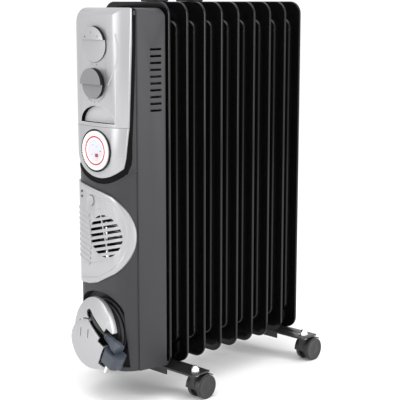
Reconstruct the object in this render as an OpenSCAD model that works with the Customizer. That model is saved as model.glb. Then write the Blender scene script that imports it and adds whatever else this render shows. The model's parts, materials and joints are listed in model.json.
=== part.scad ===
// Oil filled radiator on castors, with a control housing, fan heater, timer and cord store at its front end.
// Millimetres. X runs from the control end to the last element, Z is up, the floor is Z = 0.

/* [Radiator] */
// Distance between neighbouring elements
fin_pitch = 40; // [39:0.5:41]
// Width of an element, across the radiator
fin_w = 150; // [146:1:152]
// Height of an element
fin_h = 592; // [590:1:594]
// Height of the elements' lower edge above the floor
fin_z = 48; // [47.5:0.5:48.5]
// Corner radius of an element
fin_corner = 22; // [18:1:26]
// Thickness of the two pressed sheets of an element together
fin_sheet = 1.4; // [1.2:0.2:2]
// Width of the rolled rim of an element
rim_w = 11; // [9:1:12]
// Thickness of the rolled rim
rim_t = 5; // [4:0.5:6]
// Outer radius of the cups that join the elements into manifolds
cup_r = 24; // [22:1:26]
// Half thickness of the oil channels
channel_t = 7; // [5:0.5:8]

/* [Control housing] */
// Wall thickness of the plastic covers
wall = 2.5; // [2.3:0.1:2.6]
// Thickness of the silver panels that lie on the front cover
skin = 2.5; // [2.3:0.1:2.6]
// Height of the housing's lower edge above the floor
house_z = 57.5; // [57:0.5:58]
// Height of the housing's upper edge above the floor
house_top = 631; // [630:0.5:632]
// Radius of the two front corners in plan
corner_r = 38; // [37:0.5:39]
// Radius of the rounded upper edges
top_r = 22; // [20:1:24]

/* [Controls] */
// Height of the heat selector's axis
selector_z = 575; // [573:1:577]
// Radius of the heat selector
selector_r = 27.5; // [26:0.5:28]
// Height of the thermostat knob's axis
thermostat_z = 515; // [514:1:516]
// Radius of the thermostat knob
thermostat_r = 24; // [22:0.5:25]
// Height of the timer's axis
timer_z = 410; // [409:1:411]
// Radius of the timer's turning ring
timer_r = 31; // [30:0.5:31]
// Radius of the fan's push button
button_r = 8.5; // [7.5:0.5:9]

/* [Cord store] */
// Height of the cord winding's axis
store_z = 118; // [117:0.5:119]
// Diameter of the mains lead
cord_d = 7; // [6.8:0.1:7]
// Radius of the outermost turn of the lead
coil_r = 49; // [48.5:0.5:49]
// Height of the fan's axis
fan_z = 275; // [274:1:276]

/* [Castors] */
// Radius of a castor wheel
wheel_r = 20; // [19:0.5:20]
// Distance of a swivel axis from the middle plane
swivel_y = 110; // [108:1:112]
// Distance of the wheel axle behind the swivel axis
trail = 16; // [15:0.5:17]
// Radial clearance of every running fit
run = 0.05; // [0.03:0.01:0.08]

/* [Hidden] */

fin_count = 9;
black = [0.07, 0.07, 0.075];
charcoal = [0.28, 0.28, 0.29];
silver = [0.82, 0.82, 0.83];
steel = [0.70, 0.71, 0.72];

// Radiator
fin_top = fin_z + fin_h;
last_x = (fin_count - 1) * fin_pitch;
manifold_low = fin_z + 42;
manifold_high = fin_top - 42;
bore_r = 15;
channel_edge = 19;
end_reach = 10;
front_foot_x = fin_pitch / 2;
rear_foot_x = last_x - fin_pitch / 2;

// Castors
wheel_w = 8;
web_t = 11;
stem_r = 3.5;
axle_r = 2.5;
plate_t = 3;
plate_low = fin_z - plate_t;
wheel_in = web_t / 2 + 0.7;

// Control housing in plan: a slightly crowned front, two round corners and flared sides
back_x = -9;
corner_x = -50;
corner_y = 30;
flat_turn = 7.6;
flare = 9.1;
crown_r = corner_r + corner_y / sin(flat_turn);
crown_x = corner_x + (crown_r - corner_r) * cos(flat_turn);
front_x = crown_x - crown_r;
seam_x = -61;
cover_in = skin + 0.2;
seam_gap = 1.2;
shoulder_w = 16.5;
shoulder_h = 30.5;

// Panels
panel_split = 448;
panel_half_top = 62.6;
panel_half_split = 58.9;
panel_half_low = 55.2;
lobe_y = -8;
lobe_z = 435;
lobe_r = 67.5;
niche_z = 452.5;
niche_y = -3;
niche_w = 40;
niche_h = 29;
niche_depth = 7.5;
grille_y = -17.5;
grille_r = 34;
grille_tilt = 14;
grille_pitch = 9.4;
slot_h = 4.6;
leaf_r = 71;
leaf_z = 277;
button_y = 14;
button_z = 329;

// Cord store
store_floor = -67;
store_w = 50.5;
store_foot = 57;
store_mid = 150;
store_arch = 32;
store_low = 64;
coil_turns = 3;
coil_in = coil_r - coil_turns * cord_d;
coil_back = store_floor - 0.3;
coil_front = coil_back - 2 * cord_d;
hub_r = coil_in - cord_d / 2 - 1;
shell_x = -112;
upper_shell_x = -107;
shell_t = 2.2;
dome_r = 185;
dome_w = 47;
dome_h = 64;
dome_z = 110;
disc_y = 8;
disc_z = 98;
disc_r = 40;
gland_y = coil_r;
gland_top = 88;

// Plug: the lead comes in along the back of the disc, and the pins leave at right angles to it
plug_x = -98;
plug_flat = 14;
plug_r = 18;
plug_len = 22;
plug_back = [-50, 93];
pin_turn = 205;
neck_turn = 121.5;
neck_start = [-28, 117.5];
neck_len = 36;

// Route of the lead from the winding to the plug, through the notch in the shells
lead_route = [
  [-77.8, 40, 146], [-79, 34, 152.5], [-83, 26, 156], [-89, 17, 155], [-95, 8, 149],
  [-100, 0, 141], [-102.5, -10, 132.5], [-101, -19.5, 124.5], [-98, -28, 117.5]
];
tail_route = [[-70.8, 49, 88], [-70.8, 49, 96], [-70.8, 49, 104], [-70.8, 48, 112]];

// Carry handle
handle_x0 = 28;
handle_x1 = 132;
handle_h = 36;
handle_t = 11;
handle_w = 24;

// The whole part, so that its origin is in the middle of its footprint
x_low = shell_x;
x_high = rear_foot_x + trail + wheel_r;
mid_x = (x_low + x_high) / 2;

module place() {
  translate([-mid_x, 0, 0]) children();
}

// A plate whose outline lies in Y and Z and that reaches from x0 to x1
module along_x(x0, x1) {
  translate([x0, 0, 0]) rotate([90, 0, 90]) linear_extrude(x1 - x0) children();
}

module round_rect(w, h, r) {
  square([w, h - 2 * r], center = true);
  square([w - 2 * r, h], center = true);
  for (y = [-1, 1])
    for (z = [-1, 1])
      translate([y * (w / 2 - r), z * (h / 2 - r)]) circle(r = r, $fn = 48);
}

module rod_x(r, x0, x1, y, z, fn = 48) {
  translate([x0, y, z]) rotate([0, 90, 0]) cylinder(r = r, h = x1 - x0, $fn = fn);
}

// ---- Radiator ----

module fin_outline(inset) {
  translate([0, fin_z + fin_h / 2])
    round_rect(fin_w - 2 * inset, fin_h - 2 * inset, fin_corner - inset / 2);
}

// Two side channels, a middle channel and the two manifold cross channels
module channel_outline(inset) {
  run_w = fin_w / 2 - channel_edge - inset;
  for (y = [-1, 0, 1])
    translate([y * (run_w - 14), (manifold_low + manifold_high) / 2])
      round_rect(26 - 2 * inset, manifold_high - manifold_low - 2 * inset, 12 - inset);
  for (z = [manifold_low + 4, manifold_high - 4])
    translate([0, z]) round_rect(2 * run_w, 34 - 2 * inset, 16 - inset);
}

// Manifold cups of an element; the last one's are cut short and closed
module cups(r, n, inset) {
  x = (n - 1) * fin_pitch;
  for (z = [manifold_low, manifold_high])
    rod_x(r - inset, x - fin_pitch / 2 + inset, x + reach_out(n) - inset, 0, z);
}

function reach_out(n) = n == fin_count ? end_reach : fin_pitch / 2;

module fin(n) {
  x = (n - 1) * fin_pitch;
  half = fin_sheet / 2;
  color(black) difference() {
    union() {
      along_x(x - half, x + half) fin_outline(1);
      along_x(x - rim_t / 2, x + rim_t / 2) difference() {
        fin_outline(0);
        fin_outline(rim_w);
      }
      along_x(x - channel_t, x + channel_t) channel_outline(0);
      cups(cup_r, n, 0);
    }
    along_x(x - channel_t + 0.8, x + channel_t - 0.8) channel_outline(0.8);
    rod_x(bore_r, x - fin_pitch / 2 - 1, x + reach_out(n) + (n == fin_count ? -2 : 1), 0, manifold_low);
    rod_x(bore_r, x - fin_pitch / 2 + (n == 1 ? 2 : -1), x + reach_out(n) + 1, 0, manifold_high);
    cups(cup_r, n, 1.5);
  }
}

// A long hairpin of sheathed wire that lies in the lower manifold
module heater_tube() {
  far = last_x - 20;
  color(steel) {
    for (y = [-1, 1]) rod_x(4, -30, far, y * 7, manifold_low, 32);
    translate([far, 0, manifold_low]) rotate([0, 0, -90])
      rotate_extrude(angle = 180, $fn = 48) translate([7, 0]) circle(r = 4, $fn = 32);
  }
}

// Threaded brass head that closes the lower manifold and carries the hairpin's ends
module element_flange() {
  color([0.72, 0.58, 0.30]) difference() {
    union() {
      rod_x(21, -24, -20, 0, manifold_low, 6);
      rod_x(bore_r - 0.2, -20, -8, 0, manifold_low);
    }
    for (y = [-1, 1]) rod_x(4, -31, 0, y * 7, manifold_low, 32);
  }
}

module filler_plug() {
  x = last_x + end_reach;
  color(steel) {
    rod_x(bore_r - 0.1, x - 8, x, 0, manifold_high);
    rod_x(cup_r - 3, x, x + 1.5, 0, manifold_high);
    rod_x(9, x + 1.5, x + 6, 0, manifold_high, 6);
  }
}

// ---- Control housing ----

// The housing's outline in X and Y, drawn inwards by t, from the front to x1
module plan(t, x1) {
  r = corner_r - t;
  side_x = corner_x - r * sin(flare);
  side_y = corner_y + r * cos(flare);
  end_y = side_y + (x1 - side_x) * tan(flare);
  reach = corner_y + r * sin(flat_turn);
  intersection() {
    translate([crown_x, 0]) circle(r = crown_r - t, $fn = 360);
    translate([front_x - 5, -reach]) square([corner_x - front_x + 5, 2 * reach]);
  }
  for (y = [-1, 1]) translate([corner_x, y * corner_y]) circle(r = r, $fn = 96);
  polygon([[side_x, side_y], [x1, end_y], [x1, -end_y], [side_x, -side_y]]);
}

// A solid of that outline, with the upper edges rounded towards the front and both sides
module housing_solid(t, z0, z1, x1) {
  difference() {
    square_housing(t, z0, z1, x1);
    translate([corner_x, corner_y, 0]) rotate([0, 0, 45]) rotate([90, 0, 90])
      translate([0, 0, -90]) linear_extrude(180) round_off(corner_r - t, house_top - t);
  }
}

// What the rounding of the upper left corner takes away, seen square to that corner
module round_off(reach, top) {
  polygon(concat([[reach + 3, top + 3], [reach + 3, top - shoulder_h]],
    [for (a = [0:7.5:90]) [reach - shoulder_w + shoulder_w * cos(a), top - shoulder_h + shoulder_h * sin(a)]],
    [[reach - shoulder_w, top + 3]]));
}

module square_housing(t, z0, z1, x1) {
  r = top_r - t;
  intersection() {
    translate([0, 0, z0]) linear_extrude(z1 - z0) plan(t, x1);
    along_x(front_x - 5, x1 + 5) {
      translate([0, (z1 + z0) / 2 - 20]) square([4 * fin_w, z1 - z0 + 40 - 2 * r], center = true);
      translate([-fin_w / 2 - 2 + t + r, z1 - 2 * r]) square([fin_w + 4 - 2 * t - 2 * r, 2 * r]);
      for (y = [-1, 1]) translate([y * (fin_w / 2 + 2 - t - r), z1 - r]) circle(r = r, $fn = 64);
    }
    translate([0, 100, 0]) rotate([90, 0, 0]) linear_extrude(200) {
      translate([front_x + t, z0 - 1]) square([-front_x + 20, z1 - z0 + 1 - r]);
      translate([front_x + t + r, z1 - 2 * r]) square([-front_x + 20 - r, 2 * r]);
      translate([front_x + t + r, z1 - r]) circle(r = r, $fn = 64);
    }
  }
}

// Outline of the recess that takes the wound lead
module store_outline(grow) {
  polygon(concat(
    [for (a = [0:6:180]) [(store_w + grow) * cos(a), store_mid + (store_arch + grow) * sin(a)]],
    [[-store_foot - grow, store_low - grow], [store_foot + grow, store_low - grow]]));
}

// Outline of the leaf shaped fan panel: a round near side, a rising upper edge and a square far side
function unroll_y(s) =
  let (flat_s = crown_r * flat_turn * PI / 180, a = abs(s))
  a <= flat_s
    ? crown_r * sin(s / crown_r * 180 / PI)
    : sign(s) * (corner_y + corner_r * sin(min(70, flat_turn + (a - flat_s) / corner_r * 180 / PI)));

module leaf_outline(inset) {
  r = leaf_r - inset;
  polygon(concat(
    [for (a = [118:6:238]) [unroll_y(r * cos(a)), leaf_z + r * sin(a)]],
    [[0, 197.5 + inset], [20, 192.5 + inset], [40, 191 + inset], [60 - inset, 191 + inset],
     [60 - inset, 357 - inset], [42, 355 - inset], [-9.8, 345.6 - inset]]));
}

module upper_outline() {
  polygon([[-panel_half_top, house_top + 1], [panel_half_top, house_top + 1],
    [panel_half_split, panel_split + 0.4], [-panel_half_split, panel_split + 0.4]]);
}

module timer_outline(grow = 0) {
  intersection() {
    polygon([[-panel_half_split - grow, panel_split], [panel_half_split + grow, panel_split],
      [panel_half_low + grow, 400], [panel_half_low - 8 + grow, 350],
      [-panel_half_low + 8 - grow, 350], [-panel_half_low - grow, 400]]);
    translate([lobe_y, lobe_z]) circle(r = lobe_r + grow, $fn = 128);
  }
}

module niche_outline() {
  translate([niche_y, niche_z])
    polygon([for (a = [0:6:180]) [niche_w * cos(a), niche_h * sin(a)]]);
}

module grille_slots() {
  translate([grille_y, fan_z]) intersection() {
    circle(r = grille_r, $fn = 96);
    rotate(-grille_tilt) difference() {
      for (i = [-4:3]) translate([0, (i + 0.5) * grille_pitch]) square([90, slot_h], center = true);
      square([2.4, 90], center = true);
    }
  }
}

// The skin between two insets of the plan, cut to an outline in Y and Z
module curved_skin(t0, t1, z0, z1) {
  intersection() {
    difference() {
      housing_solid(t0, z0, house_top - t0, 0);
      housing_solid(t1, z0 - 5, house_top - t1, 1);
    }
    along_x(front_x - 6, seam_x) children();
  }
}

module front_cover() {
  color(charcoal) difference() {
    union() {
      intersection() {
        difference() {
          housing_solid(cover_in, house_z, house_top - cover_in, 0);
          housing_solid(cover_in + wall, house_z + wall, house_top - cover_in - wall, 1);
        }
        translate([front_x - 5, -100, 0]) cube([seam_x - seam_gap / 2 - front_x + 5, 200, 700]);
      }
      intersection() {
        housing_solid(cover_in, house_z, house_top - cover_in, 0);
        along_x(front_x - 5, store_floor + wall) store_outline(wall);
      }
      curved_skin(cover_in - 1.2, cover_in + 1, 330, 400) difference() {
        translate([lobe_y, lobe_z]) circle(r = lobe_r + 11.5, $fn = 128);
        translate([lobe_y, lobe_z]) circle(r = lobe_r + 9.5, $fn = 128);
        translate([-100, 384]) square([200, 200]);
      }
    }
    along_x(front_x - 5, store_floor) store_outline(0);
    along_x(front_x - 5, -70) niche_outline();
    along_x(front_x - 5, -70) intersection() {
      translate([grille_y, fan_z]) circle(r = grille_r + 1.5, $fn = 64);
      leaf_outline(6);
    }
    rod_x(5.6, front_x - 5, -60, 0, selector_z);
    rod_x(5.6, front_x - 5, -60, 0, thermostat_z);
    rod_x(timer_r + 1.5, front_x - 5, -60, 0, timer_z, 96);
    rod_x(button_r + 0.5, front_x - 5, -60, button_y, button_z);
    for (z = [333, 341]) rod_x(2.05, front_x - 5, -60, 38, z, 24);
    rod_x(3.6, store_floor - 1, store_floor + 5, gland_y, store_low + 8, 24);
  }
}

module side_slots() {
  for (i = [0:9])
    translate([-37, -100, selector_z - 9 - i * 10.5]) cube([21, 200, 3.6]);
}

module rear_cover() {
  color(charcoal) difference() {
    union() {
      difference() {
        housing_solid(0.6, house_z, house_top - 0.6, back_x);
        housing_solid(0.6 + wall, house_z + wall, house_top - 0.6 - wall, back_x + 2);
        translate([front_x - 6, -100, 0]) cube([seam_x + seam_gap / 2 - front_x + 6, 200, 700]);
      }
      difference() {
        housing_solid(0.6 + wall, house_z + wall, house_top - 0.6 - wall, back_x - 10);
        housing_solid(2.4 + wall, house_z + wall + 2, house_top - 2.4 - wall, back_x + 2);
        translate([front_x - 6, -100, 0]) cube([seam_x - 0.5 - front_x + 6, 200, 700]);
        translate([seam_x + 6, -100, 0]) cube([200, 200, 700]);
      }
    }
    side_slots();
  }
}

module back_plate() {
  color(steel) difference() {
    along_x(back_x, back_x + 1.5) translate([0, (house_z + house_top) / 2])
      round_rect(136, house_top - house_z - 16, 16);
    for (z = [manifold_low, manifold_high]) rod_x(cup_r + 2, back_x - 1, back_x + 3, 0, z);
  }
}

// Screws that hold the rear cover to the back plate and the handle to its feet
module housing_screws() {
  color(steel) {
    for (y = [-1, 1])
      for (z = [210, 480]) rod_x(3, back_x + 1.5, back_x + 3.5, y * 62, z, 24);
    for (x = [handle_x0 + 12, handle_x1 - 12])
      for (y = [-1, 1])
        translate([x, y * 16.5, fin_top + 5]) cylinder(r = 3, h = 2, $fn = 24);
  }
}

module upper_panel() {
  color(silver) difference() {
    curved_skin(0, skin, panel_split, house_top) upper_outline();
    along_x(front_x - 5, -60) niche_outline();
    rod_x(selector_r + 0.5, front_x - 5, front_x + 0.6 * skin, 0, selector_z, 96);
    rod_x(5.6, front_x - 5, -60, 0, selector_z);
    rod_x(5.6, front_x - 5, -60, 0, thermostat_z);
  }
}

module timer_panel() {
  color(silver) difference() {
    curved_skin(0, skin, 340, house_top) timer_outline();
    rod_x(timer_r + 1.5, front_x - 5, -60, 0, timer_z, 96);
  }
}

// Lining of the half round recess in the upper panel
module panel_recess() {
  color([0.75, 0.75, 0.76]) difference() {
    along_x(front_x + 1.2, front_x + 14) niche_outline();
    along_x(front_x, front_x + niche_depth + 2.5)
      translate([niche_y, niche_z + 1.2])
        polygon([for (a = [0:6:180]) [(niche_w - 1.2) * cos(a), (niche_h - 2.4) * sin(a)]]);
    difference() {
      along_x(front_x - 5, front_x + 14) niche_outline();
      housing_solid(0, 400, 560, 0);
    }
  }
}

module fan_grille() {
  color(silver) difference() {
    curved_skin(0, skin, 180, house_top) leaf_outline(0);
    along_x(front_x - 5, -60) grille_slots();
    rod_x(button_r + 0.5, front_x - 5, -60, button_y, button_z);
    for (z = [333, 341]) rod_x(2.05, front_x - 5, -60, 38, z, 24);
  }
}

// ---- Controls ----

// A round knob whose upper half stands higher than its lower half
module half_moon_knob(r, z, low, high, stem_end) {
  difference() {
    union() {
      rod_x(r, front_x - low, front_x + 0.4 * skin, 0, z, 96);
      intersection() {
        rod_x(r, front_x - high, front_x, 0, z, 96);
        translate([front_x - 20, -40, z + 0.1 * r]) cube([40, 80, 40]);
      }
      rod_x(5, front_x, stem_end, 0, z);
    }
    rod_x(1.5 + run, stem_end - 8, stem_end + 1, 0, z, 24);
  }
}

module selector_knob() {
  color(silver) half_moon_knob(selector_r, selector_z, 0.6, 4.6, -73);
}

module thermostat_knob() {
  color([0.50, 0.50, 0.52]) difference() {
    half_moon_knob(thermostat_r, thermostat_z, 5, 9, -73);
    difference() {
      rod_x(thermostat_r + 2, front_x - 0.6, front_x + 5, 0, thermostat_z, 96);
      rod_x(5.2, front_x - 1, front_x + 6, 0, thermostat_z);
    }
  }
}

module timer_ring() {
  color([0.92, 0.92, 0.93]) difference() {
    rod_x(timer_r, front_x - 1.2, front_x + 6, 0, timer_z, 96);
    rod_x(17 + run, front_x - 4, front_x + 7, 0, timer_z, 96);
  }
}

// Quarter hour tappets around the ring, pushed in to switch on
module timer_tappets() {
  color([0.95, 0.95, 0.95])
    for (a = [0:7.5:359])
      translate([0, 0, timer_z]) rotate([a, 0, 0])
        translate([front_x - 2.8, -0.7, timer_r - 4.2]) cube([1.6, 1.4, 3.5]);
}

module timer_centre() {
  color([0.80, 0.86, 0.88]) difference() {
    union() {
      rod_x(17, front_x - 1.8, front_x + 14, 0, timer_z, 96);
      translate([front_x - 2.6, -15, timer_z + 0.5]) rotate([0, 90, 0]) cylinder(r = 2.2, h = 1, $fn = 3);
    }
    translate([front_x - 3, -4.5 - 2.6, timer_z - 12]) cube([3, 5.2, 10]);
  }
}

module timer_switch() {
  color([0.75, 0.10, 0.10])
    translate([front_x - 2.4, -4.5 - 2.4, timer_z - 9.5]) cube([2.3, 4.8, 5]);
}

module fan_button() {
  color(silver) {
    rod_x(button_r, front_x - 2, front_x + 8, button_y, button_z);
    rod_x(button_r + 1.6, front_x + skin + wall + 1.6, front_x + 8, button_y, button_z);
  }
}

module indicator_lamps() {
  color([0.80, 0.15, 0.10])
    for (z = [333, 341]) rod_x(2, -88, -76, 38, z, 24);
}

// ---- Inside the housing ----

module selector_switch() {
  color([0.15, 0.15, 0.16]) {
    translate([-72, -18, selector_z - 18]) cube([28, 36, 36]);
    rod_x(1.5, -79, -72, 0, selector_z, 24);
  }
}

module thermostat_body() {
  color([0.62, 0.60, 0.55]) {
    rod_x(17, -72, -50, 0, thermostat_z);
    rod_x(1.5, -79, -72, 0, thermostat_z, 24);
  }
}

module timer_motor() {
  color([0.85, 0.85, 0.82]) {
    translate([-75.5, -28, timer_z - 28]) cube([26, 56, 56]);
    rod_x(7, -49.5, -40, 16, timer_z - 12, 32);
  }
}

module fan_motor() {
  color([0.55, 0.56, 0.58]) difference() {
    union() {
      rod_x(20, -46, -24, grille_y, fan_z);
      translate([-24, grille_y - 26, fan_z - 6]) cube([back_x + 24, 52, 12]);
    }
    rod_x(2, -47, -30, grille_y, fan_z, 24);
  }
}

module fan_impeller() {
  color([0.85, 0.85, 0.80]) difference() {
    union() {
      rod_x(9, -64, -50, grille_y, fan_z);
      rod_x(2 - run, -50, -32, grille_y, fan_z, 24);
      for (a = [0:60:359])
        translate([-57, grille_y, fan_z]) rotate([a, 0, 0]) translate([0, 0, 8]) rotate([0, 0, 35])
          translate([-0.9, -7, 0]) cube([1.8, 14, 21]);
    }
  }
}

// Ceramic frame with resistance bars that warms the fan's air
module fan_heater() {
  color([0.80, 0.76, 0.66]) difference() {
    rod_x(32, -73, -68, grille_y, fan_z, 64);
    translate([-74, grille_y, fan_z]) rotate([90, 0, 90])
      linear_extrude(8) intersection() {
        circle(r = 28, $fn = 64);
        for (i = [-3:3]) translate([0, i * 8]) square([60, 5.5], center = true);
      }
  }
}

module terminal_block() {
  color([0.90, 0.88, 0.80]) difference() {
    translate([-44, -24, 200]) cube([16, 48, 14]);
    for (i = [-1:1]) translate([-36, i * 15, 195]) cylinder(r = 2.5, h = 25, $fn = 24);
  }
}

module thermal_cutout() {
  color([0.20, 0.20, 0.22]) {
    rod_x(8, back_x - 8, back_x, 0, 340);
    translate([back_x - 11, -2, 334]) cube([3, 4, 12]);
  }
}

// ---- Carry handle on top of the radiator ----

module arch(x0, x1, h, r) {
  translate([x0, fin_top]) square([x1 - x0, h - r]);
  translate([x0 + r, fin_top]) square([x1 - x0 - 2 * r, h]);
  for (x = [x0 + r, x1 - r]) translate([x, fin_top + h - r]) circle(r = r, $fn = 48);
}

module carry_handle() {
  color([0.12, 0.12, 0.13]) {
    translate([0, handle_w / 2, 0]) rotate([90, 0, 0]) linear_extrude(handle_w) difference() {
      arch(handle_x0, handle_x1, handle_h, 18);
      translate([0, -1]) arch(handle_x0 + handle_t, handle_x1 - handle_t, handle_h - handle_t + 1, 10);
    }
    for (x = [handle_x0, handle_x1 - 24])
      translate([x, -21, fin_top]) cube([24, 42, 5]);
  }
}

// ---- Cord store and lead ----

module cord_hub() {
  color(black) difference() {
    union() {
      rod_x(hub_r, -87, store_floor, 0, store_z, 64);
      rod_x(hub_r + 3, -89.9, -87, 0, store_z, 64);
      rod_x(4, shell_x + shell_t + 0.35, -88.5, 10, store_z - 18, 24);
      rod_x(4, upper_shell_x + 7.05, -88.5, 24, store_z + 22, 24);
      translate([-89.9, 15, store_z + 14]) rotate([-45, 0, 0]) translate([0, -4, -6]) cube([2.9, 8, 18]);
    }
    rod_x(hub_r - 2.5, -88, store_floor + 1, 0, store_z, 64);
  }
}

module ellipse_outline(w, h, z) {
  translate([0, z]) polygon([for (a = [0:7.5:359]) [w * cos(a), h * sin(a)]]);
}

// A solid dome about X, with its crown at x
module dome(x, y, z) {
  hull() {
    for (a = [1:5:26])
      rod_x(dome_r * sin(a), x + dome_r * (1 - cos(a)), x + 40, y, z, 72);
  }
}

// A domed cup, open at the back: the first outline under one dome, less the second under a deeper one
module domed_shell(x, y, z) {
  difference() {
    intersection() {
      along_x(x - 2, -90) children(0);
      dome(x, y, z);
    }
    intersection() {
      along_x(x - 2, -89) children(1);
      dome(x + shell_t, y, z);
    }
  }
}

// The gap that the lead comes out of, along its own route
module lead_notch(w) {
  for (i = [4:7]) {
    p = lead_route[i];
    q = lead_route[i + 1];
    d = [q[1] - p[1], q[2] - p[2]];
    translate([p[1], p[2]]) circle(r = w - 0.6, $fn = 24);
    translate([p[1], p[2]]) rotate(atan2(d[1], d[0])) translate([0, -w]) square([norm(d), 2 * w]);
  }
}

// Room for the parked plug
module plug_room(grow) {
  translate(plug_back) rotate(pin_turn - 90 - 90)
    translate([-plug_r - grow, -plug_len - 12]) square([2 * (plug_r + grow), plug_len + 24 + grow]);
  translate(neck_start) rotate(neck_turn + 90)
    translate([-2, -12 - grow]) square([neck_len + 14, 24 + 2 * grow]);
}

module store_upper_shell() {
  color(silver) difference() {
    domed_shell(upper_shell_x, 0, dome_z + 2) {
      ellipse_outline(dome_w, dome_h, dome_z);
      ellipse_outline(dome_w - shell_t, dome_h - shell_t, dome_z);
    }
    along_x(upper_shell_x - 5, -80) {
      translate([disc_y, disc_z]) circle(r = disc_r + 1.5, $fn = 96);
      translate([-100, 0]) square([200, 93]);
      lead_notch(6);
      plug_room(2);
    }
  }
}

module lower_outline(inset) {
  intersection() {
    translate([-2, 108.5]) circle(r = 50.5 - inset, $fn = 96);
    union() {
      translate([disc_y, disc_z]) circle(r = disc_r - inset, $fn = 96);
      translate([-60 + inset, 50]) square([120 - 2 * inset, 22 - inset]);
    }
  }
}

module store_lower_shell() {
  color(silver) difference() {
    domed_shell(shell_x, disc_y, disc_z) {
      lower_outline(0);
      lower_outline(shell_t);
    }
    along_x(shell_x - 5, -80) {
      lead_notch(6);
      plug_room(1.2);
      for (y = [2, 20]) translate([y, 116]) square([1.6, 14], center = true);
    }
  }
}

// Tapered sleeve where the lead leaves the housing
module cord_gland() {
  color(black) difference() {
    union() {
      translate([-70.8, gland_y, store_low]) cylinder(r1 = 5.8, r2 = 4.4, h = gland_top - store_low, $fn = 32);
      for (z = [store_low + 4 : 4 : gland_top - 3])
        translate([-70.8, gland_y, z]) cylinder(r = 6, h = 1.6, $fn = 32);
    }
    translate([-70.8, gland_y, store_low - 1]) cylinder(r = cord_d / 2, h = 40, $fn = 32);
    translate([store_floor - 0.05, gland_y - 10, store_low - 1]) cube([10, 20, 60]);
  }
}

function unit(v) = v / norm(v);

// One closed tube along a route of points, with rings square to the route
module tube(route, r, sides = 10) {
  n = len(route);
  ahead = [for (i = [0:n - 1]) unit(route[min(i + 1, n - 1)] - route[max(i - 1, 0)])];
  out = [for (i = [0:n - 1]) unit(cross(ahead[i], [1, 0, 0]))];
  points = [for (i = [0:n - 1]) for (k = [0:sides - 1])
    route[i] + r * (cos(360 * k / sides) * out[i] + sin(360 * k / sides) * cross(ahead[i], out[i]))];
  sides_of = [for (i = [0:n - 2]) for (k = [0:sides - 1])
    [i * sides + k, i * sides + (k + 1) % sides, (i + 1) * sides + (k + 1) % sides, (i + 1) * sides + k]];
  first = [for (k = [sides - 1:-1:0]) k];
  last = [for (k = [0:sides - 1]) (n - 1) * sides + k];
  polyhedron(points = points, faces = concat([first], sides_of, [last]), convexity = 4);
}

module cord_tail() {
  color(black) tube(tail_route, cord_d / 2);
}

module cord_coil() {
  color(black) translate([coil_front, 0, store_z]) rotate([0, 90, 0])
    rotate_extrude($fn = 96) translate([coil_in - cord_d / 2, 0]) square([coil_turns * cord_d + cord_d, 2 * cord_d]);
}

module cord_lead() {
  color(black) tube(lead_route, cord_d / 2);
}

module plug_body() {
  color([0.20, 0.22, 0.25]) {
    translate([plug_x, neck_start[0], neck_start[1]]) rotate([neck_turn, 0, 0]) {
      cylinder(r1 = 4.6, r2 = 7, h = 18, $fn = 32);
      for (z = [3:4:15]) translate([0, 0, z]) cylinder(r = 6.4, h = 1.8, $fn = 32);
      translate([0, 0, 18]) cylinder(r1 = 7, r2 = 10, h = 8, $fn = 32);
      translate([0, 0, 26]) cylinder(r = 10, h = neck_len - 26, $fn = 32);
    }
    intersection() {
      translate([plug_x, plug_back[0], plug_back[1]]) rotate([pin_turn, 0, 0])
        cylinder(r = plug_r, h = plug_len, $fn = 64);
      translate([plug_x - plug_flat, -100, 0]) cube([2 * plug_flat, 100, 200]);
    }
  }
}

module plug_pins() {
  color(steel)
    for (x = [-9.5, 9.5])
      translate([plug_x + x, plug_back[0], plug_back[1]]) rotate([pin_turn, 0, 0])
        translate([0, 0, plug_len]) cylinder(r = 2.4, h = 15, $fn = 32);
}

// ---- Feet and castors ----

module foot_plate(x) {
  half = fin_pitch / 2;
  color(black) difference() {
    union() {
      translate([x - half, -swivel_y - 14, plate_low]) cube([2 * half, 2 * swivel_y + 28, plate_t]);
      for (side = [-half, half - 2])
        translate([x + side, -64, plate_low - 9]) cube([2, 128, 10]);
    }
    for (y = [-1, 1]) {
      translate([x, y * swivel_y, plate_low - 1]) cylinder(r = stem_r + 0.2, h = plate_t + 2, $fn = 32);
      translate([x, y * (cup_r + 2.5), plate_low - 1]) cylinder(r = 2.8, h = plate_t + 2, $fn = 32);
    }
  }
}

module foot_clamps() {
  color(steel)
    for (x = [front_foot_x, rear_foot_x]) {
      translate([x, 0, manifold_low]) rotate([0, -90, 0]) rotate([0, 0, -90])
        rotate_extrude(angle = 180, $fn = 64) translate([cup_r + 2.5, 0]) circle(r = 2.5, $fn = 32);
      for (y = [-1, 1])
        translate([x, y * (cup_r + 2.5), plate_low - 9])
          cylinder(r = 2.5, h = manifold_low - plate_low + 9, $fn = 32);
    }
}

module wing_nuts() {
  color(steel)
    for (x = [front_foot_x, rear_foot_x])
      for (y = [-1, 1])
        translate([x, y * (cup_r + 2.5), plate_low - 6]) difference() {
          union() {
            cylinder(r = 5.5, h = 6, $fn = 32);
            translate([-12, -1, -3]) cube([24, 2, 8]);
          }
          translate([0, 0, -4]) cylinder(r = 2.5, h = 12, $fn = 32);
        }
}

module at_castors() {
  for (x = [front_foot_x, rear_foot_x])
    for (y = [-swivel_y, swivel_y])
      translate([x, y, 0]) children();
}

module castor_stems() {
  color(steel) at_castors() {
    translate([0, 0, 24.5]) cylinder(r = stem_r, h = 28, $fn = 32);
    translate([0, 0, 41.1]) cylinder(r = 8, h = plate_low - 41.1, $fn = 48);
  }
}

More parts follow.
